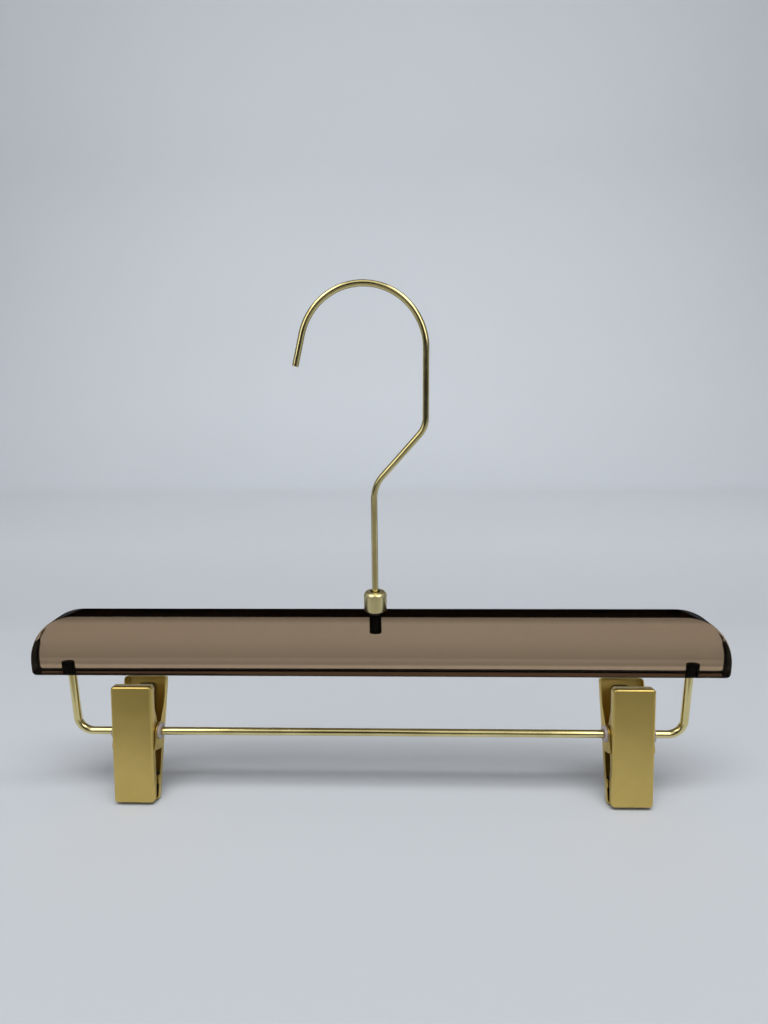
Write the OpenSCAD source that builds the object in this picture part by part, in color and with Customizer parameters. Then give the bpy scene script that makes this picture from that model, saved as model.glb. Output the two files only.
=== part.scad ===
// Trouser hanger: a clear acrylic bar with a swivelling wire hook on top and a wire rail
// below it, on which two spring clips slide. Millimetres, +Z up, X along the bar, and the
// front looks to -Y. The origin is the point where the hook rests on a clothes rail.

/* [Acrylic bar] */
// Length of the acrylic bar
bar_length = 350; // [300:1:450]
// Height of the acrylic bar at its middle
bar_height = 31.9; // [29:0.1:44]
// Thickness of the acrylic bar, front to back
bar_thickness = 12; // [9:0.1:18]
// Length of the curved shoulder at each end
shoulder_length = 25; // [16:0.5:36]
// Drop of the curved shoulder at each end
shoulder_drop = 26.5; // [18:0.5:27]
// Radius of the bottom corners
corner_radius = 2.2; // [1.6:0.1:3]
// Rounding along the front and back edges
edge_radius = 0.5; // [0.4:0.1:1.5]

/* [Wire hook] */
// Diameter of the hook wire
hook_wire_d = 3; // [2.4:0.1:3.6]
// Radius of the hook's loop, to the middle of the wire
loop_radius = 28.6; // [22:0.1:36]
// Distance from the stem's axis to the middle of the loop
loop_shift = 4.1; // [0:0.1:8]
// Angle above the level at which the loop runs out into its straight tip
tip_angle = 14; // [0:1:40]
// Length of the straight tip
tip_length = 14.6; // [5:0.1:26]
// Height of the lower kink above the acrylic bar
stem_height = 64.1; // [40:0.1:90]
// Height of the slanting stretch, from kink to kink
slant_rise = 27.5; // [20:0.1:40]
// Height from the upper kink to the middle of the loop
neck_rise = 35.4; // [20:0.1:50]
// Bend radius of the lower kink, to the middle of the wire
lower_bend = 16; // [4:0.5:20]
// Bend radius of the upper kink, to the middle of the wire
upper_bend = 12; // [4:0.5:16]
// Diameter of the head that keeps the wire in the collar
head_d = 6; // [5.2:0.1:7]
// Thickness of that head
head_t = 1.4; // [0.8:0.1:2]

/* [Collar] */
// Outer diameter of the collar
collar_d = 11.2; // [10.8:0.1:14]
// Height of the collar
collar_height = 9.9; // [8.6:0.1:14]
// Height of the collar's foot above the acrylic bar, where the stud's flange shows
collar_lift = 1.5; // [0.5:0.1:3]
// Rounding of the collar's top edge
collar_round = 2; // [0.6:0.1:2.2]
// Diameter of the hole in the collar's top
collar_hole_d = 4.9; // [4.2:0.1:5]
// Thickness of the collar's top
collar_top_t = 2.2; // [1.6:0.1:3]
// Diameter of the space inside the collar
collar_inside_d = 8.2; // [7.6:0.1:8.6]
// Thickness of the washer under the collar's top
washer_t = 0.8; // [0.5:0.1:1.2]
// Thickness of the stud's flange inside the collar, above the collar's foot
flange_t = 2.4; // [1.4:0.1:3]
// Diameter of the stud's shank in the acrylic
shank_d = 5.9; // [4.5:0.1:6.6]
// Length of the stud's shank
shank_length = 9.7; // [8:0.1:14]

/* [Wire rail] */
// Diameter of the rail's wire
rail_d = 4; // [3.6:0.1:4.4]
// Distance from each end of the acrylic bar to the middle of the rail's leg
leg_inset = 17.5; // [12:0.1:40]
// Distance from the acrylic bar's underside to the middle of the rail
rail_drop = 34.3; // [31:0.1:46]
// Bend radius at the rail's corners, to the middle of the wire
rail_bend = 8; // [6:0.5:12]
// Length of each leg inside the acrylic
leg_insert = 6; // [4:0.1:10]
// Outer diameter of the sleeve round each leg
sleeve_d = 6.5; // [5.6:0.1:8]

/* [Clips] */
// Distance from the rail's left leg to the middle of the left clip
left_clip_inset = 31.5; // [25:0.1:100]
// Distance from the rail's right leg to the middle of the right clip
right_clip_inset = 27.8; // [25:0.1:100]
// Lean of both clips on the rail, with their jaws swung forward
clip_lean = 15; // [0:0.2:20]
// Outer width of the back jaw, which wraps round the front jaw
clip_width = 22.8; // [21:0.1:26]
// Height of the front jaw above the rail's axis
front_above = 26.5; // [22:0.1:30]
// Height of the back jaw above the rail's axis
back_above = 27.6; // [22:0.1:30.4]
// Height of the jaws below the rail's axis
jaw_below = 35.4; // [31:0.1:40]
// Distance from the rail's axis to a jaw's outer face
jaw_offset = 8.1; // [7.6:0.1:10]
// Angle between each jaw's face and the middle of the clip
jaw_splay = 7.2; // [5:0.1:8]
// Thickness of the sheet metal
sheet_t = 0.7; // [0.5:0.05:0.9]
// Depth of the jaws' folded edges
fold_depth = 4.5; // [3.4:0.1:4.9]
// Outside radius where the sheet is folded
fold_radius = 1.3; // [1:0.1:1.8]
// Radius of the jaws' corners
jaw_corner = 1.9; // [1.8:0.1:3]
// Radius of the ears round the rail
ear_radius = 4.6; // [4.2:0.1:5.4]
// How far the ears reach below the rail's axis
ear_drop = 9.2; // [7:0.1:12]
// Height at which the ears run into the folded edges
ear_rise = 13.6; // [10:0.1:18]
// Height of the stop lug on each folded edge
lug_height = 4.3; // [3:0.1:6]
// Distance from the rail's axis down to the middle of the stop lugs
lug_drop = 25; // [20:0.1:27]

/* [Bushes, springs and pads] */
// Outer diameter of the bush's rim
bush_rim_d = 8.4; // [7.6:0.1:9]
// Thickness of the bush's rim
bush_rim_t = 1.3; // [0.8:0.1:1.6]
// Outer diameter of the bush's tube
bush_tube_d = 5.6; // [5.2:0.05:5.8]
// Length of the bush's tube inside the jaws
bush_tube_length = 2.6; // [2:0.1:4]
// Diameter of the spring's wire
spring_wire_d = 1.2; // [0.8:0.05:1.3]
// Inside radius of the spring's coils
coil_inside_r = 3.1; // [3:0.05:3.3]
// Distance from turn to turn of the coils
coil_pitch = 1.75; // [1.75:0.05:1.9]
// Half the width of the spring's cross bar
yoke_half = 4.2; // [3:0.1:4.4]
// Height of the cross bar above the rail's axis
yoke_height = 20.5; // [16:0.1:22]
// Height of the spring's free ends above the rail's axis
leg_height = 15; // [12:0.1:19]
// Bend radius at the ends of the cross bar
yoke_bend = 1.8; // [1.2:0.1:2.4]
// Height of the rubber pad in each jaw
pad_height = 11.5; // [8:0.1:14]
// Height of one grip rib on the pad
rib_height = 1.15; // [0.8:0.05:1.6]
// Depth of the grooves between the ribs
rib_depth = 0.6; // [0.3:0.05:1]

/* [Fits] */
// Gap all round the rail in its bushes
rail_gap = 0.05; // [0.02:0.01:0.1]
// Gap all round a bush in the ears
bush_gap = 0.07; // [0.03:0.01:0.1]
// Gap beside the front jaw, between the ears of the back jaw
nest_gap = 0.15; // [0.1:0.05:0.4]
// Gap between an ear and the bush's rim
rim_gap = 0.12; // [0.05:0.01:0.3]
// Gap between the closed jaws
jaw_gap = 0.3; // [0.2:0.05:0.8]
// Gap all round the hook wire in its washer
wire_gap = 0.06; // [0.02:0.01:0.1]
// Gap all round what is glued or pressed into a hole
glue_gap = 0.04; // [0.02:0.01:0.1]
// Gap that keeps the hook's head and the spring clear of their neighbours
play = 0.12; // [0.05:0.01:0.2]

/* [Hidden] */

// Colours
SMOKE = [0.50, 0.43, 0.36, 0.55];
SATIN_BRASS = [0.62, 0.59, 0.42];
GOLD = [0.72, 0.62, 0.36];
JAW_GOLD = [0.60, 0.52, 0.31];
DARK_STEEL = [0.22, 0.20, 0.16];
CLEAR_PVC = [0.62, 0.54, 0.52];
RUBBER = [0.12, 0.11, 0.10];

// Facets of round parts, of drawn arcs and of the spring
ROUND = 64;
SHOULDER_STEPS = 14;
ARC_STEPS = 5;
EDGE_STEPS = 3;
LOOP_STEPS = 22;
WIRE_SIDES = 20;
SPRING_SIDES = 6;
RINGS_PER_TURN = 12;
OVER = 1;

// The hook's outline, measured from the stem's axis and the acrylic bar's underside
slant_run = loop_radius - loop_shift;
slant_angle = atan2(slant_run, slant_rise);
lower_kink_z = bar_height + stem_height;
upper_kink_z = lower_kink_z + slant_rise;
loop_z = upper_kink_z + neck_rise;
lower_cut = lower_bend * tan(slant_angle / 2);
upper_cut = upper_bend * tan(slant_angle / 2);

// The collar and what is inside it
collar_z = bar_height + collar_lift;
washer_z = collar_z + collar_height - collar_top_t - washer_t - play;
head_z = washer_z - head_t - play;

// Where the parts lie in the hanging hanger
seat_z = loop_z + loop_radius - hook_wire_d / 2;

// The rail's legs, and the places of the clips from the stem's axis
leg_spacing = bar_length - 2 * leg_inset;
left_clip_x = left_clip_inset - leg_spacing / 2;
right_clip_x = leg_spacing / 2 - right_clip_inset;

// The jaws: the front one fits between the ears of the back one
front_width = clip_width - 2 * sheet_t - 2 * nest_gap;
inner_face = jaw_offset - sheet_t;
ear_hole_d = bush_tube_d + 2 * bush_gap;

// The spring, as a path in the clip's own frame
coil_r = coil_inside_r + spring_wire_d / 2;
function leg_y(z) =
    inner_face / cos(jaw_splay) + z * tan(jaw_splay) - (spring_wire_d / 2 + play) / cos(jaw_splay);
function leave_angle(y, z) = atan2(z, y) - acos(coil_r / norm([y, z]));
function tangent_point(a) = [coil_r * cos(a), coil_r * sin(a)];
yoke_y = leg_y(yoke_height);
back_angle = leave_angle(yoke_y, yoke_height);
front_angle = 180 - leave_angle(leg_y(leg_height), leg_height);
coil_turn = 720 + 360 + back_angle - front_angle;
coil_length = coil_pitch * coil_turn / 360;
coil_steps = round(RINGS_PER_TURN * coil_turn / 360);

// An arc as a list of points, from angle a0 to angle a1
function arc(cx, cy, rx, ry, a0, a1, steps) =
    [for (i = [0:steps]) let (a = a0 + (a1 - a0) * i / steps) [cx + rx * cos(a), cy + ry * sin(a)]];

// The acrylic bar's outline, drawn in by the given amount
function bar_outline(inset) =
    let (end = bar_length / 2, foot = corner_radius - inset,
        rx = shoulder_length - inset, ry = shoulder_drop - inset,
        foot_x = end - corner_radius, shoulder_x = end - shoulder_length,
        shoulder_z = bar_height - shoulder_drop)
    concat(
        arc(foot_x, corner_radius, foot, foot, -90, 0, ARC_STEPS),
        arc(shoulder_x, shoulder_z, rx, ry, 0, 90, SHOULDER_STEPS),
        arc(-shoulder_x, shoulder_z, rx, ry, 90, 180, SHOULDER_STEPS),
        arc(-foot_x, corner_radius, foot, foot, 180, 270, ARC_STEPS));

// A jaw's outline seen from the front, drawn in by the given amount
function jaw_outline(width, above, inset) =
    let (x = width / 2 - jaw_corner, top = above - jaw_corner, low = jaw_corner - jaw_below,
        r = jaw_corner - inset)
    concat(arc(x, low, r, r, -90, 0, ARC_STEPS), arc(x, top, r, r, 0, 90, ARC_STEPS),
        arc(-x, top, r, r, 90, 180, ARC_STEPS), arc(-x, low, r, r, 180, 270, ARC_STEPS));

// What is cut from a front jaw seen from the side: all that lies past its folded edge,
// but for the ear round the rail and the stop lug
function past_edge() =
    let (edge = fold_depth - jaw_offset, foot_r = ear_radius / 2, far = jaw_offset + 2 * OVER,
        lug_top = lug_height / 2 - lug_drop, lug_low = lug_top - lug_height)
    concat([[far, back_above + OVER], [edge, back_above + OVER], [edge, ear_rise]],
        arc(0, 0, ear_radius, ear_radius, 100, 0, ARC_STEPS * 2),
        arc(ear_radius - foot_r, foot_r - ear_drop, foot_r, foot_r, 0, -90, ARC_STEPS),
        [[edge, -ear_drop], [edge, lug_top], [0, lug_top], [0, lug_low], [edge, lug_low],
            [edge, -jaw_below - OVER], [far, -jaw_below - OVER]]);

// Places a part that is drawn about the stem's axis and the bar's underside
module on_bar() {
    translate([loop_shift, 0, -seat_z]) children();
}

// Places a part that is drawn about the rail's axis at the middle of a clip
module on_clip(x) {
    on_bar() translate([x, 0, -rail_drop]) rotate([-clip_lean, 0, 0]) children();
}

// A block whose outline in the XZ plane changes from ring to ring: [y, points], front to back
module loft(rings) {
    n = len(rings[0][1]);
    last = len(rings) - 1;
    points = [for (ring = rings, p = ring[1]) [p.x, ring[0], p.y]];
    front = [for (k = [n - 1:-1:0]) k];
    back = [for (k = [0:n - 1]) last * n + k];
    sides = [for (i = [0:last - 1], k = [0:n - 1]) let (a = i * n + k, b = i * n + (k + 1) % n)
        each [[a, b, b + n], [a, b + n, a + n]]];
    polyhedron(points, concat([front, back], sides));
}

// A plate of an outline in the YZ plane, from x towards the right
module side_plate(x, thickness, points) {
    translate([x, 0, 0]) rotate([90, 0, 90]) linear_extrude(thickness) polygon(points);
}

// A quarter bend of round wire in the XZ plane, drawn about its centre
module wire_bend(x, z, radius, start, d) {
    translate([x, 0, z]) rotate([90, -start, 0]) rotate_extrude(angle = 90, $fn = ROUND * 2)
        translate([radius, 0]) circle(d = d, $fn = ROUND / 2);
}

// A round tube along a path: each ring is turned on from the one before without twist
module tube(path, d, sides) {
    last = len(path) - 1;
    heading = [for (i = [0:last]) let (v = path[min(i + 1, last)] - path[max(i - 1, 0)]) v / norm(v)];
    start = cross(heading[0], heading[0].y * heading[0].y > 0.5 ? [1, 0, 0] : [0, 1, 0]);
    side = [for (i = 0, n = start / norm(start); i <= last;
        i = i + 1, n = let (h = heading[min(i, last)], m = n - (n * h) * h) m / norm(m)) n];
    points = [for (i = [0:last], k = [0:sides - 1])
        let (a = 360 * k / sides, up = cross(heading[i], side[i]))
        path[i] + d / 2 * (cos(a) * side[i] + sin(a) * up)];
    quads = [for (i = [0:last - 1], k = [0:sides - 1])
        let (a = i * sides + k, b = i * sides + (k + 1) % sides)
        [a, a + sides, b + sides, b]];
    ends = [for (i = [1:sides - 2]) each [[0, i, i + 1],
        [last * sides, last * sides + i + 1, last * sides + i]]];
    polyhedron(points, concat([for (q = quads) each [[q[0], q[1], q[2]], [q[0], q[2], q[3]]]], ends));
}

// Solid acrylic with rounded shoulders, drilled for the stud and the two legs
module acrylic_bar() {
    flat = bar_thickness / 2 - edge_radius;
    edge = [for (i = [0:EDGE_STEPS]) 90 * i / EDGE_STEPS];
    front = [for (a = edge) [-flat - edge_radius * cos(a), bar_outline(edge_radius * (1 - sin(a)))]];
    color(SMOKE) on_bar() difference() {
        loft(concat(front, [for (i = [EDGE_STEPS:-1:0]) [-front[i][0], front[i][1]]]));
        translate([0, 0, bar_height - shank_length - glue_gap])
            cylinder(h = shank_length + OVER, d = shank_d + 2 * glue_gap, $fn = ROUND);
        for (side = [-1, 1]) {
            translate([side * leg_spacing / 2, 0, -OVER])
                cylinder(h = OVER + leg_insert + 2 * glue_gap, d = sleeve_d + 2 * glue_gap, $fn = ROUND);
        }
    }
}

// Turned brass collar, open below, with a loose hole for the wire in its top
module collar() {
    r = collar_d / 2;
    foot = 0.5;
    color(SATIN_BRASS) on_bar() translate([0, 0, collar_z]) rotate_extrude($fn = ROUND)
        polygon(concat(
            [[collar_inside_d / 2, 0], [r - foot, 0], [r, foot]],
            arc(r - collar_round, collar_height - collar_round, collar_round, collar_round, 0, 90, ARC_STEPS),
            [[collar_hole_d / 2, collar_height], [collar_hole_d / 2, collar_height - collar_top_t],
                [collar_inside_d / 2, collar_height - collar_top_t]]));
}

// Stud that holds the collar: a flange below and in the collar, on a shank in the acrylic
module hook_stud() {
    tip = 0.6;
    color(DARK_STEEL) on_bar() translate([0, 0, bar_height]) {
        cylinder(h = collar_lift + flange_t, d = collar_inside_d - 2 * glue_gap, $fn = ROUND);
        translate([0, 0, tip - shank_length]) cylinder(h = shank_length - tip, d = shank_d, $fn = ROUND);
        translate([0, 0, -shank_length]) cylinder(h = tip, d1 = shank_d - 2 * tip, d2 = shank_d, $fn = ROUND);
    }
}

// Washer that the hook's head pulls against
module hook_washer() {
    color(SATIN_BRASS) on_bar() translate([0, 0, washer_z]) difference() {
        cylinder(h = washer_t, d = collar_inside_d - 2 * play, $fn = ROUND);
        translate([0, 0, -OVER])
            cylinder(h = washer_t + 2 * OVER, d = hook_wire_d + 2 * wire_gap, $fn = ROUND);
    }
}

// The middle line of the hook's wire, from its head to its tip, as points in the XZ plane
function hook_line() =
    let (low = [0, lower_kink_z], high = [slant_run, upper_kink_z], loop = [-loop_shift, loop_z],
        turn = 180 - tip_angle)
    concat(
        [[0, head_z + head_t / 2]],
        arc(lower_bend, low.y - lower_cut, lower_bend, lower_bend, 180, 180 - slant_angle, ARC_STEPS),
        arc(high.x - upper_bend, high.y + upper_cut, upper_bend, upper_bend, -slant_angle, 0, ARC_STEPS),
        arc(loop.x, loop.y, loop_radius, loop_radius, 0, turn, LOOP_STEPS),
        [loop + loop_radius * [cos(turn), sin(turn)] + tip_length * [-sin(turn), cos(turn)]]);

// The hook: one bent wire with a head on its lower end
module hook() {
    color(GOLD) on_bar() {
        translate([0, 0, head_z]) cylinder(h = head_t, d = head_d, $fn = ROUND);
        tube([for (p = hook_line()) [p.x, 0, p.y]], hook_wire_d, WIRE_SIDES);
    }
}

// The rail: one wire whose two legs stand in the acrylic bar
module rail() {
    x = leg_spacing / 2;
    bend_z = rail_bend - rail_drop;
    color(GOLD) on_bar() {
        for (side = [-1, 1])
            translate([side * x, 0, bend_z]) cylinder(h = leg_insert - bend_z, d = rail_d, $fn = ROUND);
        translate([rail_bend - x, 0, -rail_drop]) rotate([0, 90, 0])
            cylinder(h = leg_spacing - 2 * rail_bend, d = rail_d, $fn = ROUND);
        wire_bend(rail_bend - x, bend_z, rail_bend, 180, rail_d);
        wire_bend(x - rail_bend, bend_z, rail_bend, 270, rail_d);
    }
}

// Sleeve that fixes a leg in its hole
module leg_sleeve(side) {
    color(DARK_STEEL) on_bar() translate([side * leg_spacing / 2, 0, 0]) difference() {
        cylinder(h = leg_insert, d = sleeve_d, $fn = ROUND);
        translate([0, 0, -OVER]) cylinder(h = leg_insert + 2 * OVER, d = rail_d + 2 * glue_gap, $fn = ROUND);
    }
}

// The inside or the outside of a pressed jaw, drawn in by the sheet
module jaw_block(width, above, wall, reach) {
    r = fold_radius - wall;
    fold = [for (i = [0:EDGE_STEPS]) let (a = 90 * i / EDGE_STEPS)
        [wall - jaw_offset + r * (1 - cos(a)), jaw_outline(width, above, wall + r * (1 - sin(a)))]];
    loft(concat(fold, [[reach, jaw_outline(width, above, wall)]]));
}

// What lies beyond the middle of the closed clip, below the ears
module past_middle() {
    side = 2 * jaw_below;
    rotate([-jaw_splay, 0, 0]) translate([-side / 2, -jaw_gap / 2, -side - ear_drop - OVER])
        cube([side, side, side]);
}

// A pressed jaw with folded edges, two ears with their holes, and stop lugs
module jaw(width, above) {
    rotate([jaw_splay, 0, 0]) difference() {
        jaw_block(width, above, 0, jaw_offset);
        jaw_block(width, above, sheet_t, jaw_offset + OVER);
        side_plate(-width, 2 * width, past_edge());
        translate([-width, 0, 0]) rotate([0, 90, 0]) cylinder(h = 2 * width, d = ear_hole_d, $fn = ROUND);
        past_middle();
    }
}

module front_jaw(x) {
    color(JAW_GOLD) on_clip(x) jaw(front_width, front_above);
}

module back_jaw(x) {
    color(JAW_GOLD) on_clip(x) mirror([0, 1, 0]) jaw(clip_width, back_above);
}

// Rubber pad behind the lip of a jaw, with grip ribs that meet at the clip's middle
module pad(width) {
    low = fold_radius + play - jaw_below;
    ribs = floor(pad_height / rib_height / 2);
    rotate([jaw_splay, 0, 0]) difference() {
        translate([-width / 2, play - inner_face, low]) cube([width, inner_face, pad_height]);
        past_middle();
        rotate([-jaw_splay, 0, 0]) for (i = [0:ribs - 1])
            translate([-width, -jaw_gap / 2 - rib_depth, low + rib_height * (2 * i + 1)])
                cube([2 * width, jaw_offset, rib_height]);
    }
}

module front_pad(x) {
    color(RUBBER) on_clip(x) pad(front_width - 2 * fold_radius - 2 * play);
}

module back_pad(x) {
    color(RUBBER) on_clip(x) mirror([0, 1, 0]) pad(clip_width - 2 * fold_radius - 2 * play);
}

// Plastic bush: its rim lies outside the ears, and its tube is the pivot of both jaws
module bush(x, side) {
    ear_x = clip_width / 2 + rim_gap;
    tube = rim_gap + 2 * sheet_t + nest_gap + bush_tube_length - sheet_t;
    color(CLEAR_PVC) on_clip(x) rotate([0, side * 90, 0]) difference() {
        union() {
            translate([0, 0, ear_x]) cylinder(h = bush_rim_t, d = bush_rim_d, $fn = ROUND);
            translate([0, 0, ear_x - tube]) cylinder(h = tube, d = bush_tube_d, $fn = ROUND);
        }
        cylinder(h = clip_width, d = rail_d + 2 * rail_gap, $fn = ROUND);
    }
}

// The left half of the spring's path, from its free end to the middle of the cross bar
function spring_half() =
    let (leg = tangent_point(front_angle), rise = tangent_point(back_angle),
        outer = yoke_half + coil_length,
        along = [yoke_y - rise.x, yoke_height - rise.y] / norm([yoke_y - rise.x, yoke_height - rise.y]),
        turn = yoke_height - yoke_bend * along.y)
    concat(
        [[-outer, -leg_y(leg_height), leg_height], [-outer, (leg.x - leg_y(leg_height)) / 2,
            (leg.y + leg_height) / 2]],
        [for (i = [0:coil_steps]) let (a = front_angle + coil_turn * i / coil_steps)
            [-outer + coil_length * i / coil_steps, coil_r * cos(a), coil_r * sin(a)]],
        [for (i = [1:ARC_STEPS]) let (a = 90 * i / ARC_STEPS, s = yoke_bend * (sin(a) - 1))
            [-yoke_half + yoke_bend * (1 - cos(a)), yoke_y + s * along.x, yoke_height + s * along.y]]);

function spring_path() =
    let (half = spring_half(), last = len(half) - 1)
    concat(half, [for (i = [last:-1:0]) [-half[i].x, half[i].y, half[i].z]]);

// The least gap between stretches of the spring that aren't neighbours along the wire
function least_gap(path) =
    min([for (i = [0:len(path) - 1], j = [i + RINGS_PER_TURN - 3:1:len(path) - 1])
        norm(path[i] - path[j])]) - spring_wire_d;

// Double torsion spring round the bushes: its cross bar and its two legs push the tops apart
module spring(x) {
    path = spring_path();
    echo(least_gap_of_the_spring = least_gap(path));
    color(DARK_STEEL) on_clip(x) tube(path, spring_wire_d, SPRING_SIDES);
}

acrylic_bar();
collar();
hook_stud();
hook_washer();
hook();
rail();
leg_sleeve(-1);  // left_leg_sleeve
leg_sleeve(1);  // right_leg_sleeve
front_jaw(left_clip_x);  // left_front_jaw
back_jaw(left_clip_x);  // left_back_jaw
spring(left_clip_x);  // left_spring
bush(left_clip_x, 1);  // left_inner_bush
bush(left_clip_x, -1);  // left_outer_bush
front_pad(left_clip_x);  // left_front_pad
back_pad(left_clip_x);  // left_back_pad
front_jaw(right_clip_x);  // right_front_jaw
back_jaw(right_clip_x);  // right_back_jaw
spring(right_clip_x);  // right_spring
bush(right_clip_x, -1);  // right_inner_bush
bush(right_clip_x, 1);  // right_outer_bush
front_pad(right_clip_x);  // right_front_pad
back_pad(right_clip_x);  // right_back_pad
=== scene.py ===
"""Looks of the trouser hanger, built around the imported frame. Metres, +Z up, front to -Y."""
import math

import bmesh
import bpy
from mathutils import Matrix, Vector


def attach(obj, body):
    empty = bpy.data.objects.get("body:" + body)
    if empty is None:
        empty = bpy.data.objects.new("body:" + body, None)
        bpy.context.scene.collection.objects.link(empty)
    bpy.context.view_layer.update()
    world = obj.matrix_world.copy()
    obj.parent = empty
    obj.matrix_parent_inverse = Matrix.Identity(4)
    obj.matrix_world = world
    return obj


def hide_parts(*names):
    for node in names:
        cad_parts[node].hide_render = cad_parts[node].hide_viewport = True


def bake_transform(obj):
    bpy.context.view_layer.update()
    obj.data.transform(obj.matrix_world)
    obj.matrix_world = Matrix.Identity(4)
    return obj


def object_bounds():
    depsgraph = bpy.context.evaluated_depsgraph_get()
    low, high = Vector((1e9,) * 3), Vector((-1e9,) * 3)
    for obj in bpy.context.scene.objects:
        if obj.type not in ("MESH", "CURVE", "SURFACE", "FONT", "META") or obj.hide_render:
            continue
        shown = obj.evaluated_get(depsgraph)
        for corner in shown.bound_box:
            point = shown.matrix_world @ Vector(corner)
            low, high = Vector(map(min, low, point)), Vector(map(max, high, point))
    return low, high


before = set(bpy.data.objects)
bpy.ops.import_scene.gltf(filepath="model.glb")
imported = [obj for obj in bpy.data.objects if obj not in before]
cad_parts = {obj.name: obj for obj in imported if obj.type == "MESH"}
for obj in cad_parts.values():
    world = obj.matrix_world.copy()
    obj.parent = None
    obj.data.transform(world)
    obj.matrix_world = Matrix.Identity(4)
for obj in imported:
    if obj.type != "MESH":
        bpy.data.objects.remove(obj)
cad_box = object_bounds()
MM = 0.001

# Sizes in millimetres, as in the part's source
LOOP_SHIFT, SEAT_Z = 4.1, 186.0
BAR_LENGTH, BAR_HEIGHT, BAR_THICKNESS = 350.0, 31.9, 12.0
SHOULDER_LENGTH, SHOULDER_DROP, CORNER_RADIUS = 25.0, 26.5, 2.2
HOOK_WIRE_D, LOOP_RADIUS, TIP_ANGLE, TIP_LENGTH = 3.0, 28.6, 14.0, 14.6
STEM_HEIGHT, SLANT_RISE, NECK_RISE, LOWER_BEND, UPPER_BEND = 64.1, 27.5, 35.4, 16.0, 12.0
HEAD_Z, HEAD_T, HEAD_D = 38.66, 1.4, 6.0
COLLAR_D, COLLAR_HEIGHT, COLLAR_ROUND, COLLAR_HOLE_D = 11.2, 9.9, 2.0, 4.9
COLLAR_TOP_T, COLLAR_INSIDE_D, COLLAR_LIFT = 2.2, 8.2, 1.5
SHANK_D, SHANK_LENGTH, SLEEVE_D, LEG_INSERT = 5.9, 9.7, 6.5, 6.0
RAIL_D, LEG_SPACING, RAIL_DROP, RAIL_BEND = 4.0, 315.0, 34.3, 8.0
LEFT_CLIP_X, RIGHT_CLIP_X, CLIP_LEAN = -126.0, 129.7, 15.0
CLIP_WIDTH, FRONT_ABOVE, BACK_ABOVE, JAW_BELOW, JAW_OFFSET, JAW_SPLAY = 22.8, 26.5, 27.6, 35.4, 8.1, 7.2
SHEET_T, FOLD_DEPTH, FOLD_RADIUS, JAW_CORNER = 0.7, 4.5, 1.3, 1.9
EAR_RADIUS, EAR_DROP, EAR_RISE, LUG_HEIGHT, LUG_DROP = 4.6, 9.2, 13.6, 4.3, 25.0
NEST_GAP, RIM_GAP, JAW_GAP, BUSH_GAP, GLUE_GAP, PLAY = 0.15, 0.12, 0.3, 0.07, 0.04, 0.12
BUSH_RIM_D, BUSH_RIM_T, BUSH_TUBE_D, BUSH_TUBE_LENGTH, RAIL_GAP = 8.4, 1.3, 5.6, 2.6, 0.05
SPRING_WIRE_D, COIL_INSIDE_R, COIL_PITCH = 1.2, 3.1, 1.75
YOKE_HALF, LEG_HEIGHT, YOKE_BEND = 4.2, 15.0, 1.8
FRONT_WIDTH = CLIP_WIDTH - 2 * SHEET_T - 2 * NEST_GAP

# Sizes in millimetres that follow the photograph more closely than the part's source: the round on the bar's
# edges, the depth of the jaws' folds below their ears, and the height of the spring's cross bar
SOFT_EDGE, LOW_FOLD_DEPTH, YOKE_HEIGHT = 0.9, 3.6, 22.3

# Painted shade: the parts of the bar painted black from inside, the length of its ends and the height of its lower
# rounds in millimetres, and the share painted black there and in the drilled holes
END_ZONE, LOW_ROUND, EDGE_PAINTED_DARK, HOLE_PAINTED_DARK = 2.6, 1.2, 0.96, 0.97
# How far up a face of the bar points before it is painted near black on top, as painted shade
UPWARD = 0.75
ACRYLIC_IOR, ACRYLIC_DENSITY = 1.49, 120.0

# The camera, fitted to the photograph: place in millimetres from the bar's underside
CAMERA_AT = (12.914, -281.846, 143.938)
CAMERA_YAW, CAMERA_DOWN, CAMERA_ROLL = -0.0291, 0.2119, 0.0094
FOCAL_PX, PHOTO_WIDTH_PX = 600.0, 768.0


def place(x, y, z):
    """A point of the bar's frame, in millimetres, as a point of the scene."""
    return Vector(((x + LOOP_SHIFT) * MM, y * MM, (z - SEAT_Z) * MM))


BAR_FRAME = Matrix.Translation(place(0, 0, 0)) @ Matrix.Scale(MM, 4)


def clip_frame(x):
    """The frame of a clip: its origin on the rail, in millimetres, leaning forward."""
    return (BAR_FRAME @ Matrix.Translation((x, 0, -RAIL_DROP))
            @ Matrix.Rotation(math.radians(-CLIP_LEAN), 4, "X"))


def sin(a):
    return math.sin(math.radians(a))


def cos(a):
    return math.cos(math.radians(a))


def arc(cx, cy, rx, ry, a0, a1, steps):
    return [(cx + rx * cos(a0 + (a1 - a0) * i / steps), cy + ry * sin(a0 + (a1 - a0) * i / steps))
            for i in range(steps + 1)]


# Mesh makers

def piece(name, verts, faces, matrix=BAR_FRAME, smooth_angle=40.0):
    """A mesh object with its normals turned outwards and its sharp edges kept."""
    mesh = bpy.data.meshes.new(name)
    mesh.from_pydata([tuple(v) for v in verts], [], faces)
    mesh.transform(matrix)
    bm = bmesh.new()
    bm.from_mesh(mesh)
    bmesh.ops.remove_doubles(bm, verts=bm.verts, dist=1e-7)
    bmesh.ops.recalc_face_normals(bm, faces=bm.faces)
    bm.to_mesh(mesh)
    bm.free()
    obj = bpy.data.objects.new(name, mesh)
    bpy.context.scene.collection.objects.link(obj)
    soften(obj, smooth_angle)
    return obj


def soften(obj, angle):
    mesh = obj.data
    mesh.polygons.foreach_set("use_smooth", [True] * len(mesh.polygons))
    mesh.set_sharp_from_angle(angle=math.radians(angle))


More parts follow.
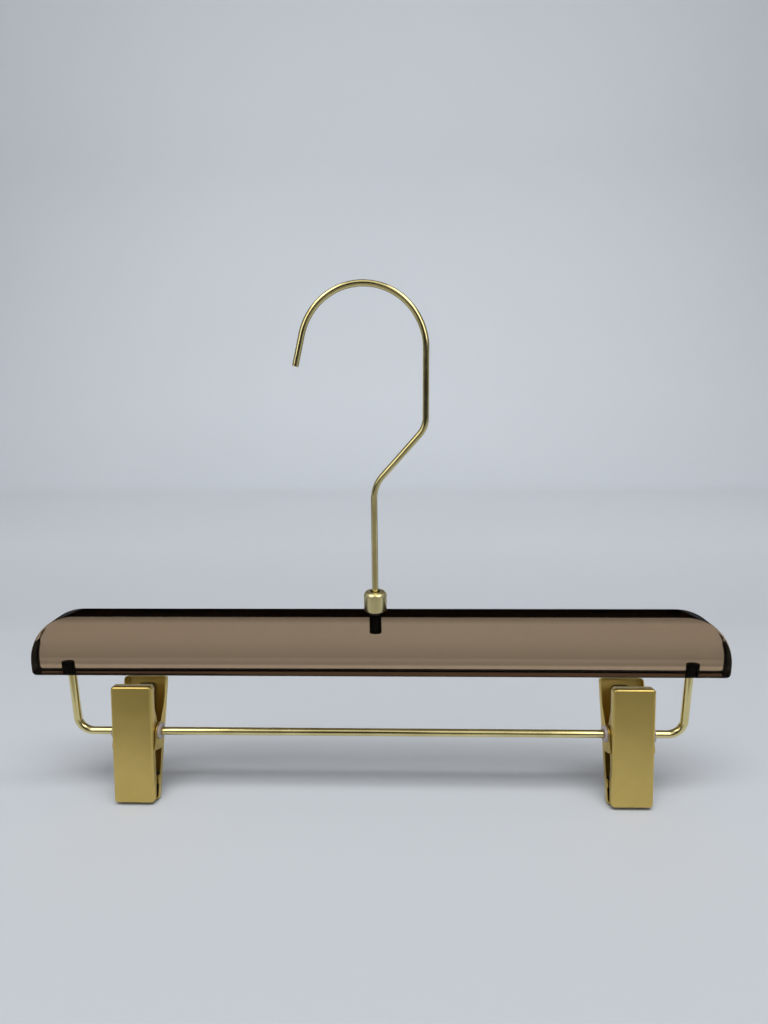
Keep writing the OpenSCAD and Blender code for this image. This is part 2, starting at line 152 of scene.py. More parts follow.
def ringed(rings):
    """Vertices and faces of a tube through rings with the same number of points, closed at both ends."""
    n = len(rings[0])
    verts = [p for ring in rings for p in ring]
    faces = [(i * n + k, i * n + (k + 1) % n, (i + 1) * n + (k + 1) % n, (i + 1) * n + k)
             for i in range(len(rings) - 1) for k in range(n)]
    faces.append(tuple(range(n - 1, -1, -1)))
    faces.append(tuple((len(rings) - 1) * n + k for k in range(n)))
    return verts, faces


def round_about(centre, radius, n, up, sides):
    """The points of a circle round a centre, in the plane of two unit vectors."""
    turns = [2 * math.pi * k / sides for k in range(sides)]
    return [centre + radius * (math.cos(a) * n + math.sin(a) * up) for a in turns]


def tube(name, path, radius, sides, matrix=BAR_FRAME, chamfer=0.25):
    """A round wire along a path, with a small chamfer on each cut end."""
    pts = [Vector(p) for p in path]
    first = (pts[1] - pts[0]).normalized()
    last = (pts[-1] - pts[-2]).normalized()
    pts = [pts[0], pts[0] + first * chamfer] + pts[1:-1] + [pts[-1] - last * chamfer, pts[-1]]
    radii = [radius - chamfer] + [radius] * (len(pts) - 2) + [radius - chamfer]
    end = len(pts) - 1
    heading = [(pts[min(i + 1, end)] - pts[max(i - 1, 0)]).normalized() for i in range(len(pts))]
    n = heading[0].cross(Vector((0, 1, 0)) if abs(heading[0].y) < 0.7 else Vector((1, 0, 0))).normalized()
    rings = []
    for p, h, r in zip(pts, heading, radii):
        n = (n - h * n.dot(h)).normalized()
        rings.append(round_about(p, r, n, h.cross(n), sides))
    verts, faces = ringed(rings)
    return piece(name, verts, faces, matrix)


def lathe(name, profile, matrix, segments=96):
    """A turned ring: its profile as (radius, height) points goes once round its section."""
    n = len(profile)
    verts = [(r * math.cos(2 * math.pi * s / segments), r * math.sin(2 * math.pi * s / segments), z)
             for s in range(segments) for r, z in profile]
    faces = []
    for here, after in ((s * n, (s + 1) % segments * n) for s in range(segments)):
        faces += [(here + k, here + (k + 1) % n, after + (k + 1) % n, after + k) for k in range(n)]
    return piece(name, verts, faces, matrix, 35.0)


def cutter(verts, faces, matrix):
    return piece("cutter", verts, faces, matrix)


def prism(points, x0, x1, matrix):
    """A prism of an outline in the YZ plane, from x0 to x1."""
    verts, faces = ringed([[(x0, y, z) for y, z in points], [(x1, y, z) for y, z in points]])
    return cutter(verts, faces, matrix)


def rod(centre, axis, radius, length, matrix):
    """A round rod about its centre, to drill with."""
    c, a = Vector(centre), Vector(axis)
    n = a.cross(Vector((0, 0, 1)) if abs(a.z) < 0.7 else Vector((1, 0, 0))).normalized()
    rings = [round_about(c + a * t, radius, n, a.cross(n), 64) for t in (-length / 2, length / 2)]
    verts, faces = ringed(rings)
    return cutter(verts, faces, matrix)


def cut(obj, cutters, bevel=None):
    """Takes the cutters out of a piece, breaks its sharp edges with a small bevel, and keeps the mesh."""
    for c in cutters:
        m = obj.modifiers.new("cut", "BOOLEAN")
        m.operation, m.solver, m.object = "DIFFERENCE", "EXACT", c
    if bevel:
        b = obj.modifiers.new("edge", "BEVEL")
        b.width, b.segments, b.limit_method, b.angle_limit = bevel * MM, 2, "ANGLE", math.radians(40.0)
        b.harden_normals = False
        b.use_clamp_overlap = True
    bpy.context.view_layer.update()
    done = bpy.data.meshes.new_from_object(obj.evaluated_get(bpy.context.evaluated_depsgraph_get()))
    obj.modifiers.clear()
    obj.data = done
    for c in cutters:
        bpy.data.objects.remove(c)
    soften(obj, 35.0)
    return obj


# Materials

# Painted light and shade on the acrylic: how much light its faces let through, by the height above the bar's
# underside in millimetres; the darker and lighter bands stand in for the bar's inner reflections
SHADE_BY_HEIGHT = [(4.4, 0.82), (5.2, 0.97), (6.0, 0.97), (7.0, 0.62), (11.0, 0.70), (15.0, 0.76), (19.0, 0.82),
          (28.2, 0.82), (29.2, 0.74), (30.3, 0.60), (31.0, 0.52), (31.9, 0.50)]


def material(name, **values):
    mat = bpy.data.materials.new("look_" + name)
    mat.use_nodes = True
    tree = mat.node_tree
    shader = tree.nodes["Principled BSDF"]
    for key, value in values.items():
        shader.inputs[key.replace("_", " ")].default_value = value
    return mat, tree, shader


def node(tree, kind, inputs=(), **settings):
    n = tree.nodes.new(kind)
    for key, value in settings.items():
        setattr(n, key, value)
    for key, value in dict(inputs).items():
        if isinstance(value, bpy.types.NodeSocket):
            tree.links.new(value, n.inputs[key])
        else:
            n.inputs[key].default_value = value
    return n


def pattern(tree, scale, stretch=(1, 1, 1), detail=4.0):
    """Noise in the piece's own coordinates, drawn out along an axis by a small stretch."""
    coords = node(tree, "ShaderNodeTexCoord")
    mapping = node(tree, "ShaderNodeMapping", {"Vector": coords.outputs["Object"], "Scale": stretch})
    return node(tree, "ShaderNodeTexNoise", {"Vector": mapping.outputs["Vector"], "Scale": scale,
                "Detail": detail, "Roughness": 0.55}).outputs["Fac"]


def between(tree, fac, low, high, start=0.3, end=0.7):
    return node(tree, "ShaderNodeMapRange", {"Value": fac, "From Min": start, "From Max": end,
                "To Min": low, "To Max": high}).outputs["Result"]


def tones(tree, fac, stops):
    """A ramp through colours, each given with its place on the ramp."""
    ramp = node(tree, "ShaderNodeValToRGB", {"Fac": fac})
    for element, (at, colour) in zip(ramp.color_ramp.elements, (stops[0], stops[-1])):
        element.position, element.color = at, (*colour, 1)
    for at, colour in stops[1:-1]:
        ramp.color_ramp.elements.new(at).color = (*colour, 1)
    return ramp.outputs["Color"]


def bump(tree, height, strength, distance):
    return node(tree, "ShaderNodeBump", {"Height": height, "Strength": strength,
                "Distance": distance}).outputs["Normal"]


def metal(name, dark, light, rough, grain=(1, 1, 1), lines=0.12):
    """Plated or turned metal: slow changes of tone and gloss, and fine working marks."""
    mat, tree, shader = material(name, Metallic=1.0)
    slow = pattern(tree, 60.0, detail=3.0)
    marks = pattern(tree, 900.0, grain, detail=5.0)
    tree.links.new(tones(tree, slow, [(0.3, dark), (0.7, light)]), shader.inputs["Base Color"])
    mixed = node(tree, "ShaderNodeMath", {0: slow, 1: marks}, operation="ADD").outputs["Value"]
    tree.links.new(between(tree, mixed, rough[0], rough[1], 0.7, 1.3), shader.inputs["Roughness"])
    tree.links.new(bump(tree, marks, lines, 0.00004), shader.inputs["Normal"])
    return mat


def acrylic():
    """Clear tinted acrylic: its tint grows with the way that light goes through it. Its polished outside mirrors
    little. Painted light and shade: its faces are darker or lighter in bands by height and near black on top, and
    the sawn ends, the lower rounded edges and the drilled holes are painted black where light comes to them from
    inside."""
    mat, tree, shader = material("smoke_acrylic", Transmission_Weight=1.0, IOR=ACRYLIC_IOR)
    rub = pattern(tree, 240.0, (0.25, 1, 1), detail=6.0)
    tree.links.new(between(tree, rub, 0.004, 0.02, 0.45, 0.8), shader.inputs["Roughness"])
    # Painted light and shade: the base colour runs through bands by height, and is near black on the faces that
    # point up
    coords = node(tree, "ShaderNodeTexCoord")
    height = node(tree, "ShaderNodeSeparateXYZ", {"Vector": coords.outputs["Object"]}).outputs["Z"]
    level = node(tree, "ShaderNodeMapRange", {"Value": height, "From Min": -SEAT_Z * MM,
                 "From Max": (BAR_HEIGHT - SEAT_Z) * MM}).outputs["Result"]
    height_shade = tones(tree, level, [(share / BAR_HEIGHT, (tone, tone, tone)) for share, tone in SHADE_BY_HEIGHT])
    # Painted shade: the faces that point up are near black
    top = node(tree, "ShaderNodeAttribute", attribute_name="top_painted_shade").outputs["Fac"]
    painted_shade = node(tree, "ShaderNodeMix", {0: top, 6: height_shade, 7: (0.03, 0.029, 0.028, 1)},
                data_type="RGBA").outputs[2]
    tree.links.new(painted_shade, shader.inputs["Base Color"])

    # From outside: light is bent inwards, with a weak reflection
    inwards = node(tree, "ShaderNodeBsdfRefraction", {"Color": painted_shade, "IOR": ACRYLIC_IOR, "Roughness": 0.008})
    gloss = node(tree, "ShaderNodeBsdfAnisotropic", {"Roughness": 0.05})
    fresnel = node(tree, "ShaderNodeFresnel", {"IOR": ACRYLIC_IOR}).outputs["Fac"]
    sheen = node(tree, "ShaderNodeMath", {0: fresnel, 1: 0.2}, operation="MULTIPLY").outputs["Value"]
    outside = node(tree, "ShaderNodeMixShader", {0: sheen, 1: inwards.outputs["BSDF"], 2: gloss.outputs["BSDF"]})
    inside = node(tree, "ShaderNodeNewGeometry").outputs["Backfacing"]
    clear = node(tree, "ShaderNodeMixShader", {0: inside, 1: outside.outputs["Shader"], 2: shader.outputs["BSDF"]})

    # From inside: the marked faces are painted black, as painted shade
    black = node(tree, "ShaderNodeBsdfPrincipled", {"Base Color": (0.004, 0.0035, 0.003, 1), "Roughness": 0.5,
                 "Specular IOR Level": 0.06})
    painted_dark = node(tree, "ShaderNodeAttribute", attribute_name="painted_dark").outputs["Fac"]
    share = node(tree, "ShaderNodeMath", {0: painted_dark, 1: inside}, operation="MULTIPLY").outputs["Value"]
    body = node(tree, "ShaderNodeMixShader", {0: share, 1: clear.outputs["Shader"], 2: black.outputs["BSDF"]})

    # The tinted inside, and the light that gets through to the shadow
    out = tree.nodes["Material Output"]
    absorb = node(tree, "ShaderNodeVolumeAbsorption", {"Color": (0.681, 0.4525, 0.161, 1),
                  "Density": ACRYLIC_DENSITY})
    tree.links.new(absorb.outputs["Volume"], out.inputs["Volume"])
    shadow = node(tree, "ShaderNodeLightPath").outputs["Is Shadow Ray"]
    through = node(tree, "ShaderNodeBsdfTransparent", {"Color": (0.14, 0.12, 0.1, 1)})
    surface = node(tree, "ShaderNodeMixShader", {0: shadow, 1: body.outputs["Shader"], 2: through.outputs["BSDF"]})
    tree.links.new(surface.outputs["Shader"], out.inputs["Surface"])
    return mat


def soft_plastic(name, dark, light, rough, clear=0.0, dent=0.1):
    """Plastic or rubber with fine grains."""
    mat, tree, shader = material(name, IOR=1.48, Transmission_Weight=clear)
    grains = pattern(tree, 400.0, detail=5.0)
    tree.links.new(tones(tree, grains, [(0.35, dark), (0.7, light)]), shader.inputs["Base Color"])
    tree.links.new(between(tree, grains, rough[0], rough[1]), shader.inputs["Roughness"])
    tree.links.new(bump(tree, grains, dent, 0.0001), shader.inputs["Normal"])
    return mat


GOLD_WIRE = metal("gold_wire", (0.66, 0.56, 0.25), (0.80, 0.69, 0.34), (0.12, 0.18), lines=0.02)
GOLD_SHEET = metal("gold_sheet", (0.62, 0.46, 0.14), (0.69, 0.515, 0.165), (0.31, 0.38), (1, 1, 0.12))
SATIN_BRASS = metal("satin_brass", (0.78, 0.68, 0.34), (0.88, 0.78, 0.42), (0.28, 0.38), (1, 1, 0.05),
                    lines=0.3)
# Dark metal: the stud's own colour, and painted shade in the collar's hole and on the washer
DARK_STEEL_AND_HOLE_SHADE = metal("dark_steel", (0.10, 0.095, 0.08), (0.16, 0.15, 0.13), (0.3, 0.45))
SPRING_STEEL = metal("spring_steel", (0.15, 0.12, 0.065), (0.22, 0.18, 0.10), (0.32, 0.45))
ACRYLIC = acrylic()
SLEEVE = soft_plastic("dark_sleeve", (0.012, 0.011, 0.01), (0.03, 0.027, 0.024), (0.4, 0.6))
BUSH = soft_plastic("clear_bush", (0.50, 0.42, 0.39), (0.62, 0.53, 0.50), (0.22, 0.34), clear=0.3)
RUBBER = soft_plastic("grip_rubber", (0.015, 0.014, 0.013), (0.035, 0.033, 0.03), (0.6, 0.8), dent=0.3)


def dress(obj, mat):
    obj.data.materials.clear()
    obj.data.materials.append(mat)


def finish_piece(obj, mat, body, *nodes):
    """Gives a piece its material, the body it moves with and the nodes that it stands for."""
    dress(obj, mat)
    if body:
        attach(obj, body)
    if nodes:
        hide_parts(*nodes)
    return obj


# The acrylic bar

def bar_outline(inset, steps=40, corner=8):
    end, foot = BAR_LENGTH / 2, CORNER_RADIUS - inset
    rx, ry = SHOULDER_LENGTH - inset, SHOULDER_DROP - inset
    fx, sx, sz = end - CORNER_RADIUS, end - SHOULDER_LENGTH, BAR_HEIGHT - SHOULDER_DROP
    return (arc(fx, CORNER_RADIUS, foot, foot, -90, 0, corner) + arc(sx, sz, rx, ry, 0, 90, steps)
            + arc(-sx, sz, rx, ry, 90, 180, steps) + arc(-fx, CORNER_RADIUS, foot, foot, 180, 270, corner))


def mark(obj, name, values):
    """Gives each face of a piece a number that its material reads."""
    layer = obj.data.attributes.new(name, "FLOAT", "FACE")
    layer.data.foreach_set("value", values)


flat = BAR_THICKNESS / 2 - SOFT_EDGE
edge = [90.0 * i / 7 for i in range(8)]
front = [(-flat - SOFT_EDGE * cos(a), SOFT_EDGE * (1 - sin(a))) for a in edge]
rings = [[(x, y, z) for x, z in bar_outline(inset)] for y, inset in
         front + [(-y, inset) for y, inset in reversed(front)]]
bar = piece("bar_acrylic", *ringed(rings))
painted_dark, top_painted_shade = [], []
for face in bar.data.polygons:
    at = Vector(face.center) / MM - Vector((LOOP_SHIFT, 0, -SEAT_Z))
    broad = abs(at.y) > BAR_THICKNESS / 2 - 0.01
    low_round = abs(at.y) > flat + 0.01 and at.z < LOW_ROUND
    at_end = abs(at.x) > BAR_LENGTH / 2 - END_ZONE
    painted_dark.append(EDGE_PAINTED_DARK if not broad and (low_round or at_end) else 0.0)
    top_painted_shade.append(1.0 if not broad and face.normal.z > UPWARD else 0.0)
mark(bar, "painted_dark", painted_dark)
mark(bar, "top_painted_shade", top_painted_shade)
holes = [rod((0, 0, BAR_HEIGHT - SHANK_LENGTH / 2 + 1), (0, 0, 1), SHANK_D / 2 + GLUE_GAP,
             SHANK_LENGTH + 2 + 2 * GLUE_GAP, BAR_FRAME)]
holes += [rod((s * LEG_SPACING / 2, 0, LEG_INSERT / 2 + GLUE_GAP - 1), (0, 0, 1), SLEEVE_D / 2 + GLUE_GAP,
              LEG_INSERT + 2 * GLUE_GAP + 2, BAR_FRAME) for s in (-1, 1)]
for hole in holes:
    mark(hole, "painted_dark", [HOLE_PAINTED_DARK] * len(hole.data.polygons))
    mark(hole, "top_painted_shade", [0.0] * len(hole.data.polygons))
cut(bar, holes)
finish_piece(bar, ACRYLIC, "bar", "acrylic_bar")

# The hook's wire, its kinks and its loop

slant_run = LOOP_RADIUS - LOOP_SHIFT
slant = math.degrees(math.atan2(slant_run, SLANT_RISE))
low_z = BAR_HEIGHT + STEM_HEIGHT
high_z = low_z + SLANT_RISE
loop_z = high_z + NECK_RISE
half_turn = math.tan(math.radians(slant / 2))
low_cut, high_cut = LOWER_BEND * half_turn, UPPER_BEND * half_turn
turn = 180 - TIP_ANGLE
line = [(0, HEAD_Z), (0, low_z - low_cut - 8)]
line += arc(LOWER_BEND, low_z - low_cut, LOWER_BEND, LOWER_BEND, 180, 180 - slant, 14)
line += arc(slant_run - UPPER_BEND, high_z + high_cut, UPPER_BEND, UPPER_BEND, -slant, 0, 14)
line += arc(-LOOP_SHIFT, loop_z, LOOP_RADIUS, LOOP_RADIUS, 0, turn, 72)
tip = (-LOOP_SHIFT + LOOP_RADIUS * cos(turn), loop_z + LOOP_RADIUS * sin(turn))
line.append((tip[0] - TIP_LENGTH * sin(turn), tip[1] + TIP_LENGTH * cos(turn)))
hook = tube("hook_wire", [(x, 0, z) for x, z in line], HOOK_WIRE_D / 2, 32)
finish_piece(hook, GOLD_WIRE, "hook", "hook")
head = lathe("hook_head", [(0.4, 0), (HEAD_D / 2 - 0.2, 0), (HEAD_D / 2, 0.2), (HEAD_D / 2, HEAD_T - 0.2),
                           (HEAD_D / 2 - 0.2, HEAD_T), (0.4, HEAD_T)],
             BAR_FRAME @ Matrix.Translation((0, 0, HEAD_Z)))
finish_piece(head, GOLD_WIRE, "hook")

# The collar, turned with a rounded shoulder

r = COLLAR_D / 2
profile = [(COLLAR_INSIDE_D / 2, 0), (r - 0.5, 0)] + arc(r - 0.5, 0.5, 0.5, 0.5, -90, 0, 4)[1:]
profile += arc(r - COLLAR_ROUND, COLLAR_HEIGHT - COLLAR_ROUND, COLLAR_ROUND, COLLAR_ROUND, 0, 90, 10)
profile += arc(COLLAR_HOLE_D / 2 + 0.35, COLLAR_HEIGHT - 0.35, 0.35, 0.35, 90, 180, 5)
profile += [(d / 2, COLLAR_HEIGHT - COLLAR_TOP_T) for d in (COLLAR_HOLE_D, COLLAR_INSIDE_D)]
collar = lathe("collar_turned", profile, BAR_FRAME @ Matrix.Translation((0, 0, BAR_HEIGHT + COLLAR_LIFT)))
finish_piece(collar, SATIN_BRASS, "bar", "collar")
# Painted shade: the faces of the collar's hole take the dark metal, so the hole looks dark inside
collar.data.materials.append(DARK_STEEL_AND_HOLE_SHADE)
for face in collar.data.polygons:
    if math.hypot(face.center.x - LOOP_SHIFT * MM, face.center.y) < (COLLAR_HOLE_D / 2 + 0.1) * MM:
        face.material_index = 1

# The rail

x = LEG_SPACING / 2
bz = RAIL_BEND - RAIL_DROP
line = [(-x, LEG_INSERT), (-x, bz + 6)]
line += arc(RAIL_BEND - x, bz, RAIL_BEND, RAIL_BEND, 180, 270, 18)
line += arc(x - RAIL_BEND, bz, RAIL_BEND, RAIL_BEND, 270, 360, 18)
line += [(x, bz + 6), (x, LEG_INSERT)]
rail = tube("rail_wire", [(px, 0, pz) for px, pz in line], RAIL_D / 2, 40)
finish_piece(rail, GOLD_WIRE, "bar", "rail")

# The clips


def jaw_outline(width, above, inset, corner=7):
    """A jaw's outline seen from the front, as points (x, z) from the rail."""
    hx, top, low = width / 2 - JAW_CORNER, above - JAW_CORNER, JAW_CORNER - JAW_BELOW
    q = JAW_CORNER - inset
    return (arc(hx, low, q, q, -90, 0, corner) + arc(hx, top, q, q, 0, 90, corner)
            + arc(-hx, top, q, q, 90, 180, corner) + arc(-hx, low, q, q, 180, 270, corner))


def jaw_block(width, above, wall, reach):
    """The jaw's solid block with its rolled edge, drawn in by a wall's thickness."""
    q = FOLD_RADIUS - wall
    fold = [(wall - JAW_OFFSET + q * (1 - cos(a)), wall + q * (1 - sin(a))) for a in
            [90.0 * i / 7 for i in range(8)]]
    rings = [[(px, y, pz) for px, pz in jaw_outline(width, above, inset)]
             for y, inset in fold + [(reach, wall)]]
    return ringed(rings)


def past_edge():
    """The outline, seen from the side, of what is cut off behind a jaw's folds, ears and stop lugs."""
    e, foot_r, far = FOLD_DEPTH - JAW_OFFSET, EAR_RADIUS / 2, JAW_OFFSET + 2
    low_e = LOW_FOLD_DEPTH - JAW_OFFSET
    top = LUG_HEIGHT / 2 - LUG_DROP
    low = top - LUG_HEIGHT
    return ([(far, BACK_ABOVE + 1), (e, BACK_ABOVE + 1), (e, EAR_RISE)]
            + arc(0, 0, EAR_RADIUS, EAR_RADIUS, 100, 0, 16)
            + arc(EAR_RADIUS - foot_r, foot_r - EAR_DROP, foot_r, foot_r, 0, -90, 8)
            + [(low_e, -EAR_DROP), (low_e, top), (0, top), (0, low), (low_e, low)]
            + [(low_e, -JAW_BELOW - 1), (far, -JAW_BELOW - 1)])


def jaw(name, width, above, matrix):
    """A pressed jaw: a tray with rolled edges, cut back to its ears and stop lugs."""
    splay = matrix @ Matrix.Rotation(math.radians(JAW_SPLAY), 4, "X")
    obj = piece(name, *jaw_block(width, above, 0, JAW_OFFSET), splay)
    inner = cutter(*jaw_block(width, above, SHEET_T, JAW_OFFSET + 1), splay)
    side = 2 * JAW_BELOW
    beyond = prism([(-JAW_GAP / 2, -EAR_DROP - 1), (side, -EAR_DROP - 1), (side, -side), (-JAW_GAP / 2, -side)],
                   -side, side, matrix)
    bore = rod((0, 0, 0), (1, 0, 0), BUSH_TUBE_D / 2 + BUSH_GAP, 2 * width, splay)
    cut(obj, [inner, prism(past_edge(), -width, width, splay), bore, beyond], 0.12)
    return obj


def bush(name, matrix, side):
    """A bush with its rim outside the ear on one side of the clip."""
    start = CLIP_WIDTH / 2 + RIM_GAP
    length = RIM_GAP + SHEET_T + NEST_GAP + BUSH_TUBE_LENGTH
    rim, tube_r, bore = BUSH_RIM_D / 2, BUSH_TUBE_D / 2, RAIL_D / 2 + RAIL_GAP
    profile = [(bore, start - length), (tube_r, start - length), (tube_r, start), (rim - 0.15, start)]
    profile += [(rim, start + 0.15)] + arc(rim - 0.5, start + BUSH_RIM_T - 0.5, 0.5, 0.5, 0, 90, 5)
    profile += arc(bore + 0.3, start + BUSH_RIM_T - 0.3, 0.3, 0.3, 90, 180, 4)
    return lathe(name, profile, matrix @ Matrix.Rotation(math.radians(90 * side), 4, "Y"), 64)


def leg_y(z):
    """How far the spring's wire lies from the rail, in front or behind, where it rests on a jaw."""
    wall = (JAW_OFFSET - SHEET_T - SPRING_WIRE_D / 2 - PLAY) / cos(JAW_SPLAY)
    return wall + z * math.tan(math.radians(JAW_SPLAY))


def spring_path():
    """The spring's path in the clip's frame: leg, coil, cross bar, coil, leg."""
    coil_r = COIL_INSIDE_R + SPRING_WIRE_D / 2
    yoke_y, fy = leg_y(YOKE_HEIGHT), leg_y(LEG_HEIGHT)

    def leave(y, z):
        return math.degrees(math.atan2(z, y) - math.acos(coil_r / math.hypot(y, z)))
    back, fwd = leave(yoke_y, YOKE_HEIGHT), 180 - leave(fy, LEG_HEIGHT)
    turns = 720 + 360 + back - fwd
    length = COIL_PITCH * turns / 360
    outer = YOKE_HALF + length
    steps = round(24 * turns / 360)
    rise = Vector((coil_r * cos(back), coil_r * sin(back)))
    along = (Vector((yoke_y, YOKE_HEIGHT)) - rise).normalized()
    leg = (coil_r * cos(fwd), coil_r * sin(fwd))
    half = [(-outer, -fy, LEG_HEIGHT), (-outer, (leg[0] - fy) / 2, (leg[1] + LEG_HEIGHT) / 2)]
    for i in range(steps + 1):
        a = fwd + turns * i / steps
        half.append((-outer + length * i / steps, coil_r * cos(a), coil_r * sin(a)))
    for i in range(0, 9):
        a = 90 * i / 8
        s = YOKE_BEND * (sin(a) - 1)
        half.append((-YOKE_HALF + YOKE_BEND * (1 - cos(a)),
                     yoke_y + s * along.x, YOKE_HEIGHT + s * along.y))
    return half + [(-px, py, pz) for px, py, pz in reversed(half)]


FLIP = Matrix.Scale(-1, 4, (0, 1, 0))
for side_name, clip_x, outer_side in (("left", LEFT_CLIP_X, -1), ("right", RIGHT_CLIP_X, 1)):
    here = clip_frame(clip_x)
    front_jaw = jaw(side_name + "_front_jaw_sheet", FRONT_WIDTH, FRONT_ABOVE, here)
    finish_piece(front_jaw, GOLD_SHEET, side_name + "_front", side_name + "_front_jaw")
    back_jaw = jaw(side_name + "_back_jaw_sheet", CLIP_WIDTH, BACK_ABOVE, here @ FLIP)
    finish_piece(back_jaw, GOLD_SHEET, side_name + "_back", side_name + "_back_jaw")
    coil = tube(side_name + "_spring_wire", spring_path(), SPRING_WIRE_D / 2, 12, here, 0.15)
    finish_piece(coil, SPRING_STEEL, None, side_name + "_spring")
    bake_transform(coil)
    for place_name, s in (("outer", outer_side), ("inner", -outer_side)):
        ring = bush(side_name + "_" + place_name + "_bush_ring", here, s)
        finish_piece(ring, BUSH, side_name + "_bushes", side_name + "_" + place_name + "_bush")

# CAD nodes that are shown as they are; the washer's dark metal is painted shade under the collar's hole, the
# stud's is its own
for name, mat in (("hook_stud", DARK_STEEL_AND_HOLE_SHADE), ("hook_washer", DARK_STEEL_AND_HOLE_SHADE), ("left_leg_sleeve", SLEEVE),
                  ("right_leg_sleeve", SLEEVE), ("left_front_pad", RUBBER), ("left_back_pad", RUBBER),
                  ("right_front_pad", RUBBER), ("right_back_pad", RUBBER)):
    dress(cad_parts[name], mat)

# Floor, backdrop, light and camera

floor_z = min(cad_box[0][2], cad_box[1][2]) - 0.0001
sweep = [(-2.5, 0.0), (0.9, 0.0)] + arc(0.9, 0.9, 0.9, 0.9, -90, 0, 24) + [(1.8, 3.5)]
verts = [(s * 4.0, y, floor_z + z) for y, z in sweep for s in (-1, 1)]
faces = [(2 * i, 2 * i + 1, 2 * i + 3, 2 * i + 2) for i in range(len(sweep) - 1)]
floor = piece("floor", verts, faces, Matrix.Identity(4))
mat, tree, shader = material("floor_paper", Roughness=0.85)
paper = tones(tree, pattern(tree, 1.3, detail=2.0),
              [(0.3, (0.50, 0.525, 0.555)), (0.7, (0.515, 0.54, 0.57))])
at = node(tree, "ShaderNodeSeparateXYZ", {"Vector": node(tree, "ShaderNodeTexCoord").outputs["Object"]})
# Painted light and shade: the paper is painted a little paler at the back and darker up the wall
rise = node(tree, "ShaderNodeMath", {0: between(tree, at.outputs["Y"], 1.0, 1.15, 0.24, 0.5),
            1: between(tree, at.outputs["Y"], 1.0, 0.95, 0.8, 1.6)}, operation="MULTIPLY").outputs["Value"]
painted_falloff = node(tree, "ShaderNodeMath", {0: rise, 1: between(tree, at.outputs["Z"], 1.0, 0.78, -0.1, 1.2)},
            operation="MULTIPLY").outputs["Value"]
paper = node(tree, "ShaderNodeVectorMath", {0: paper, "Scale": painted_falloff}, operation="SCALE").outputs["Vector"]
tree.links.new(paper, shader.inputs["Base Color"])
dress(floor, mat)


def panel(name, at, aim, size, power):
    """A lamp that lights the scene, and that metal and acrylic don't mirror: the cards below are for that."""
    data = bpy.data.lights.new(name, "AREA")
    data.shape, data.size, data.size_y, data.energy = "RECTANGLE", size[0], size[1], power
    obj = bpy.data.objects.new(name, data)
    obj.location = at
    obj.rotation_euler = (Vector(aim) - Vector(at)).to_track_quat("-Z", "Y").to_euler()
    obj.visible_glossy = obj.visible_transmission = False
    bpy.context.scene.collection.objects.link(obj)
    return obj


panel("near_strip", (0.1, -0.282, 1.25), (0.05, 0, -0.15), (1.5, 0.24), 10.4)
panel("far_strip", (0.1, -0.617, 1.25), (0.05, 0, -0.15), (1.5, 0.24), 10.0)
panel("overhead", (0.1, -0.1, 1.35), (0.1, 0.1, 0), (1.1, 0.9), 2.0)
wash = panel("wall_wash", (-0.1, 0.2, 1.9), (-0.1, 1.8, 0.8), (3.6, 0.5), 17.5)
wash.data.use_shadow, wash.data.spread = False, math.radians(110)
panel("side", (-1.1, -0.5, 0.55), (0, 0, -0.15), (0.35, 0.7), 1.2)


def card(name, corners, tone, through=False):
    """A studio card, dark or bright: metal and acrylic show it, and nothing else sees it or is lit by it."""
    obj = piece(name, corners, [(0, 1, 2, 3)], Matrix.Identity(4))
    mat, tree, shader = material(name + "_cloth", Base_Color=(0, 0, 0, 1), Specular_IOR_Level=0.0)
    level = max(1.0, *tone)
    full = [t / level for t in tone]
    weave = tones(tree, pattern(tree, 40.0), [(0.3, [0.97 * t for t in full]), (0.7, full)])
    tree.links.new(weave, shader.inputs["Emission Color"])
    shader.inputs["Emission Strength"].default_value = level
    dress(obj, mat)
    obj.visible_camera = obj.visible_diffuse = obj.visible_shadow = False
    obj.visible_transmission = through


def upright(x0, x1, y, z0, z1):
    return [(x0, y, z0), (x1, y, z0), (x1, y, z1), (x0, y, z1)]


def on_floor(start_left, start_right, end_left, end_right, half):
    """A card that lies just over the floor, from one slanted line to another, given by their ends' y."""
    z = floor_z + 0.003
    return [(-half, start_left, z), (half, start_right, z), (half, end_right, z), (-half, end_left, z)]


DARK_Y, BOX_Y, BACK_Y = -0.8, -0.7, 1.0
BOX_LOW, BOX_HIGH, TOP_LOW, TOP_HIGH = 0.12, 0.85, 0.9, 1.3
card("dark_front", upright(-2.2, 2.2, DARK_Y, floor_z + 0.05, 2.2), (0.03, 0.03, 0.03))
card("grey_table", on_floor(-0.06, -0.15, -0.15, -0.28, 0.9), (0.36, 0.36, 0.34))
card("dark_table", on_floor(-0.15, -0.28, DARK_Y, DARK_Y, 0.9), (0.27, 0.27, 0.255))
card("dark_floor_behind", on_floor(0.22, 0.22, 0.95, 0.95, 1.3), (0.03, 0.03, 0.03))
card("dark_back", upright(-2.2, 2.2, BACK_Y, 0.06, 0.3), (0.02, 0.02, 0.02), True)
card("dark_back_high", upright(-2.2, 2.2, BACK_Y, 0.3, 1.6), (0.13, 0.10, 0.08), True)
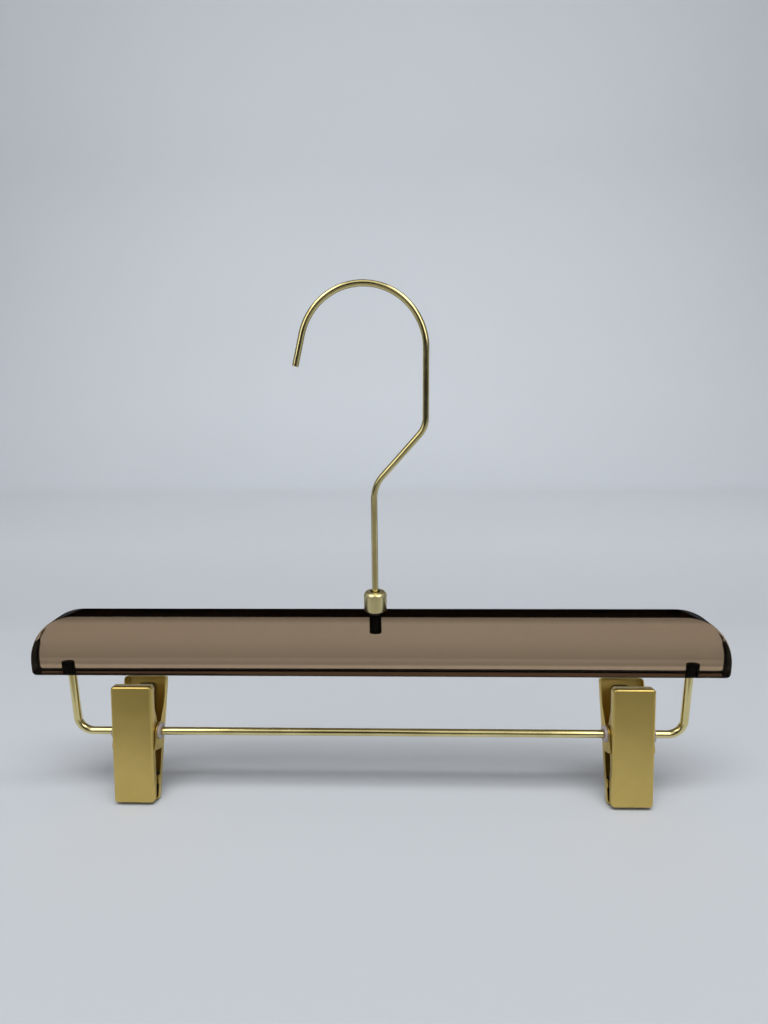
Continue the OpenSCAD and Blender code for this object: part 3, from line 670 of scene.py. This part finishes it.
for name, x0, x1, tone in (("left_box", -1.1, -0.34, (1.9, 1.9, 1.85)),
                           ("left_box_edge", -0.34, -0.14, (0.3, 0.3, 0.3)),
                           ("right_box", 0.32, 1.1, (2.3, 2.3, 2.25)),
                           ("right_box_edge", 0.06, 0.32, (0.6, 0.6, 0.6))):
    card(name, upright(x0, x1, BOX_Y, BOX_LOW, BOX_HIGH), tone)
for name, x0, x1, low, tone in (("left_top", -1.2, -0.4, TOP_LOW, (4.0, 4.0, 3.85)),
                                ("middle_top", -0.4, 0.4, 0.6, (0.9, 0.9, 0.87)),
                                ("right_top", 0.4, 1.2, TOP_LOW, (4.0, 4.0, 3.85))):
    card(name, [(x0, BOX_Y, low), (x1, BOX_Y, low), (x1, 0, TOP_HIGH), (x0, 0, TOP_HIGH)], tone)

world = bpy.data.worlds.new("studio")
bpy.context.scene.world = world
world.use_nodes = True
world.node_tree.nodes["Background"].inputs["Color"].default_value = (0.80, 0.83, 0.88, 1)
world.node_tree.nodes["Background"].inputs["Strength"].default_value = 0.36

data = bpy.data.cameras.new("camera")
data.sensor_fit, data.sensor_width = "HORIZONTAL", 36.0
data.lens = FOCAL_PX / PHOTO_WIDTH_PX * data.sensor_width
data.clip_start, data.clip_end = 0.01, 20.0
camera = bpy.data.objects.new("camera", data)
bpy.context.scene.collection.objects.link(camera)
level = Vector((math.sin(CAMERA_YAW), math.cos(CAMERA_YAW), 0))
right = Vector((math.cos(CAMERA_YAW), -math.sin(CAMERA_YAW), 0))
look = level * math.cos(CAMERA_DOWN) + Vector((0, 0, -1)) * math.sin(CAMERA_DOWN)
down = look.cross(right)
right, down = (right * math.cos(CAMERA_ROLL) + down * math.sin(CAMERA_ROLL),
               down * math.cos(CAMERA_ROLL) - right * math.sin(CAMERA_ROLL))
turned = Matrix((right, -down, -look)).transposed().to_4x4()
camera.matrix_world = Matrix.Translation(place(*CAMERA_AT)) @ turned
bpy.context.scene.camera = camera
bpy.context.scene.view_settings.view_transform = "Standard"
